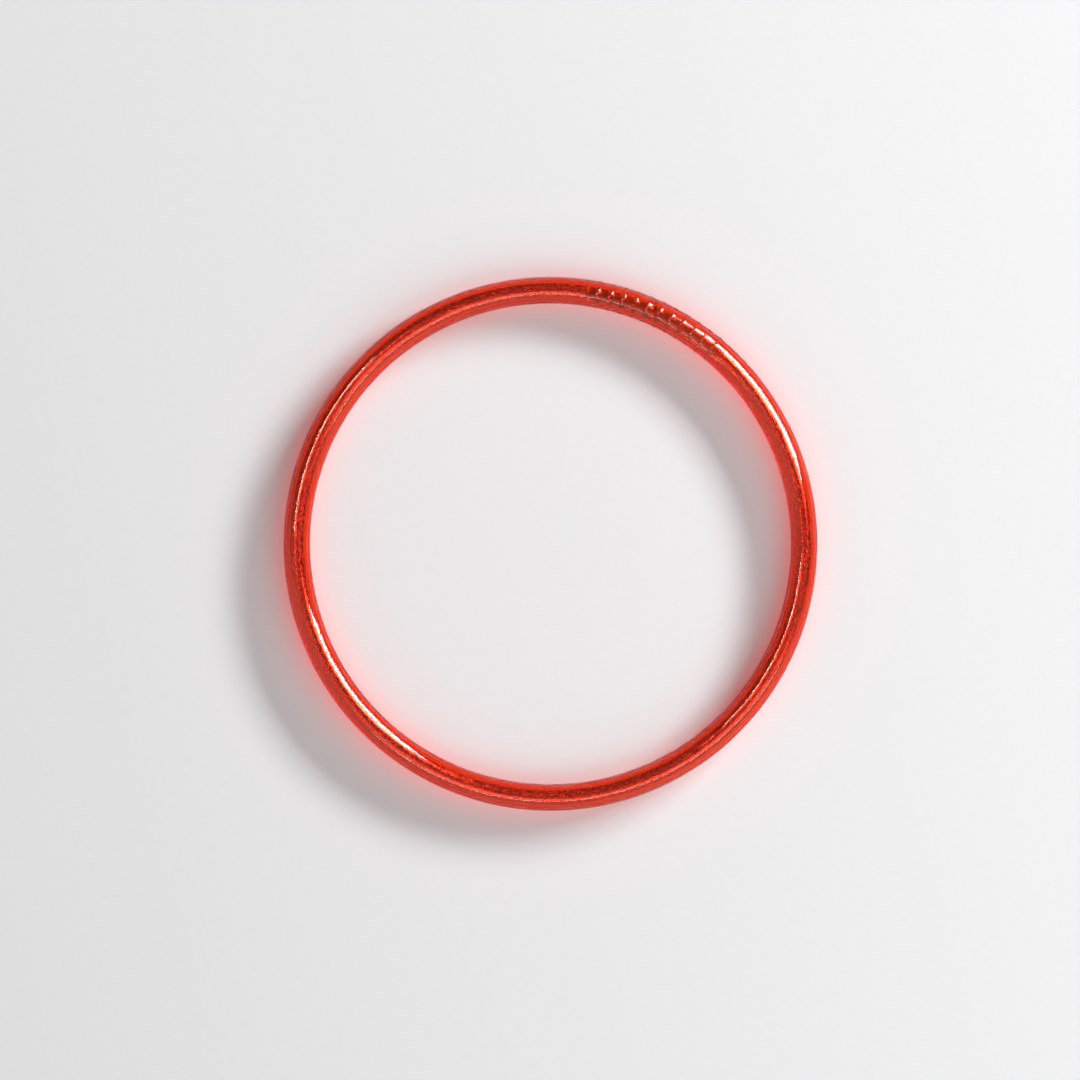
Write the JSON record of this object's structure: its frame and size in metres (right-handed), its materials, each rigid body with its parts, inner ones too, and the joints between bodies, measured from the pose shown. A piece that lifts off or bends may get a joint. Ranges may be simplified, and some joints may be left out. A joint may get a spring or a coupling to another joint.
{
  "type": "bangle bracelet",
  "caption": "Closed round bangle made of a translucent tinted tube lined with rolled glitter foil, its ends joined over a hidden ribbed plug.",
  "frame": {"origin": "centre of the ring, on the surface that the bangle lies on", "axes": "+Z along the ring's axis, up when it lies flat; +Y from the centre towards the seam where the tube's ends meet; +X to the right of the seam seen from above"},
  "size_m": [0.07, 0.0701, 0.0036],
  "materials": {
    "tube_vinyl": "clear tinted flexible vinyl, glossy",
    "glitter_foil": "metallised glitter film, crinkled",
    "plug_plastic": "clear moulded plastic, glossy",
    "adhesive": "set adhesive, slightly cloudy",
    "loose_glitter": "metallised flakes, mirror bright"
  },
  "bodies": {
    "root": {"outer_tube": "tube_vinyl", "foil_roll": "glitter_foil", "joint_plug": "plug_plastic", "seam_glue": "adhesive", "glitter_flakes": "loose_glitter"}
  },
  "joints": []
}
